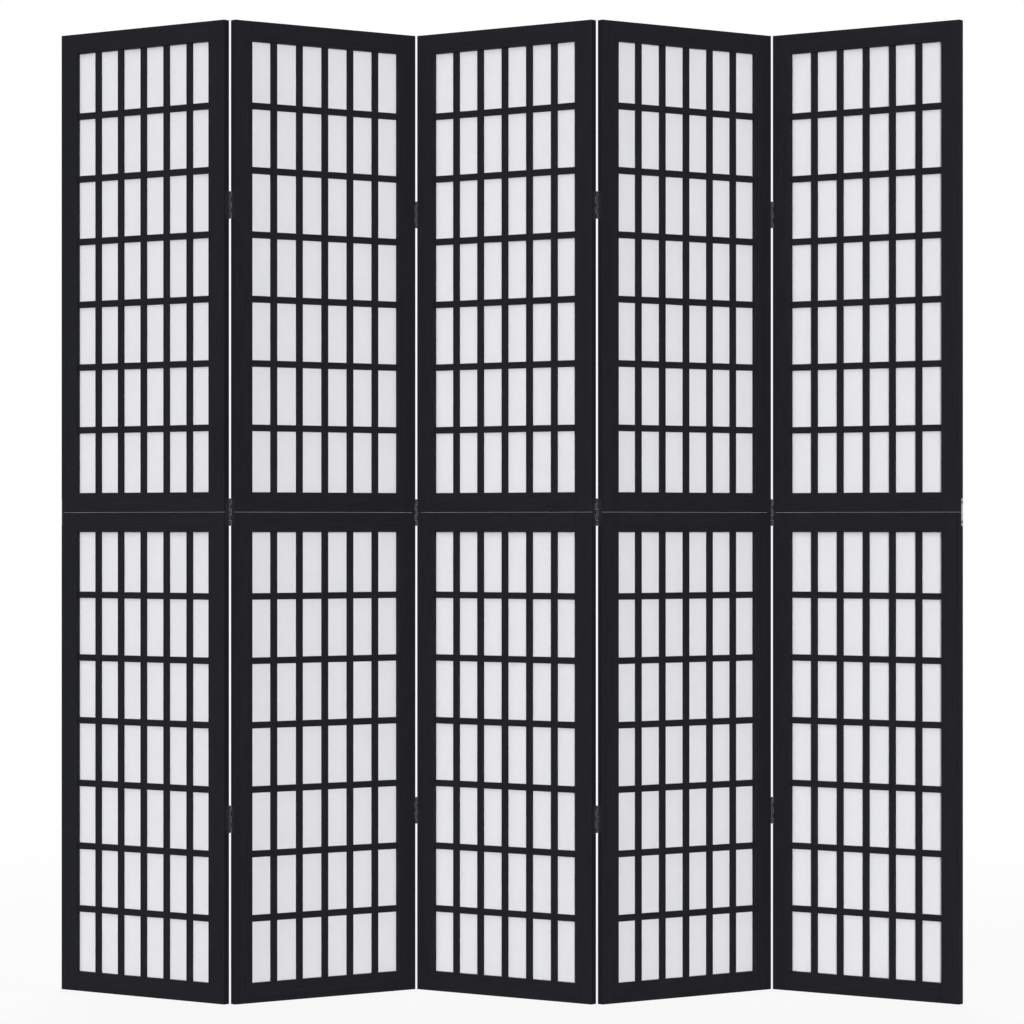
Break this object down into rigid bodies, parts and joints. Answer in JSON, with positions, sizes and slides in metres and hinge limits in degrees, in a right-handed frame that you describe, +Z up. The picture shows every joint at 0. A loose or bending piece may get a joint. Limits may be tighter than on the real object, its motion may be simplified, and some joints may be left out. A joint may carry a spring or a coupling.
{
  "type": "folding room divider",
  "caption": "Free-standing folding screen of hinged black lattice frames with pale fabric panes, set out in a zigzag to divide a room.",
  "frame": {"origin": "on the floor under the middle of the third panel, which is the middle of the screen", "axes": "+Z up, +X along the row of panels to the right as seen from the front, +Y from front to back"},
  "size_m": [1.6756, 0.247, 1.8],
  "materials": {
    "black_wood": "satin black stain",
    "white_fabric": "matt, close weave",
    "hinge_steel": "satin black coat",
    "screw_steel": "black coat",
    "plate_steel": "bare, brushed"
  },
  "bodies": {
    "panel_1": {"panel_1_left_stiles": "black_wood", "panel_1_right_stiles": "black_wood", "panel_1_rails": "black_wood", "panel_1_uprights": "black_wood", "panel_1_crossbars": "black_wood", "panel_1_fabric": "white_fabric", "panel_1_beads": "black_wood", "panel_1_screws": "screw_steel", "fold_1_left_leaves": "hinge_steel", "fold_1_pins": "hinge_steel", "left_edge_plate": "plate_steel"},
    "panel_2": {"panel_2_left_stiles": "black_wood", "panel_2_right_stiles": "black_wood", "panel_2_rails": "black_wood", "panel_2_uprights": "black_wood", "panel_2_crossbars": "black_wood", "panel_2_fabric": "white_fabric", "panel_2_beads": "black_wood", "panel_2_screws": "screw_steel", "fold_1_right_leaves": "hinge_steel", "fold_2_left_leaves": "hinge_steel", "fold_2_pins": "hinge_steel"},
    "panel_3": {"panel_3_left_stiles": "black_wood", "panel_3_right_stiles": "black_wood", "panel_3_rails": "black_wood", "panel_3_uprights": "black_wood", "panel_3_crossbars": "black_wood", "panel_3_fabric": "white_fabric", "panel_3_beads": "black_wood", "panel_3_screws": "screw_steel", "fold_2_right_leaves": "hinge_steel", "fold_3_left_leaves": "hinge_steel", "fold_3_pins": "hinge_steel"},
    "panel_4": {"panel_4_left_stiles": "black_wood", "panel_4_right_stiles": "black_wood", "panel_4_rails": "black_wood", "panel_4_uprights": "black_wood", "panel_4_crossbars": "black_wood", "panel_4_fabric": "white_fabric", "panel_4_beads": "black_wood", "panel_4_screws": "screw_steel", "fold_3_right_leaves": "hinge_steel", "fold_4_left_leaves": "hinge_steel", "fold_4_pins": "hinge_steel"},
    "panel_5": {"panel_5_left_stiles": "black_wood", "panel_5_right_stiles": "black_wood", "panel_5_rails": "black_wood", "panel_5_uprights": "black_wood", "panel_5_crossbars": "black_wood", "panel_5_fabric": "white_fabric", "panel_5_beads": "black_wood", "panel_5_screws": "screw_steel", "fold_4_right_leaves": "hinge_steel", "right_edge_plate": "plate_steel"}
  },
  "joints": [
    {"name": "fold_2", "type": "hinge", "parent": "panel_3", "child": "panel_2", "pos_m": [-0.16787, 0.11244, 0.9], "axis": [0, 0, 1], "range_deg": [-72, 108]},
    {"name": "fold_1", "type": "hinge", "parent": "panel_2", "child": "panel_1", "pos_m": [-0.5036, -0.11244, 0.9], "axis": [0, 0, -1], "range_deg": [-72, 108]},
    {"name": "fold_3", "type": "hinge", "parent": "panel_3", "child": "panel_4", "pos_m": [0.16787, -0.11244, 0.9], "axis": [0, 0, 1], "range_deg": [-72, 108]},
    {"name": "fold_4", "type": "hinge", "parent": "panel_4", "child": "panel_5", "pos_m": [0.5036, 0.11244, 0.9], "axis": [0, 0, -1], "range_deg": [-72, 108]}
  ],
  "couplings": [
    {"joint": "fold_3", "follows": "fold_2", "ratio": 1}
  ]
}
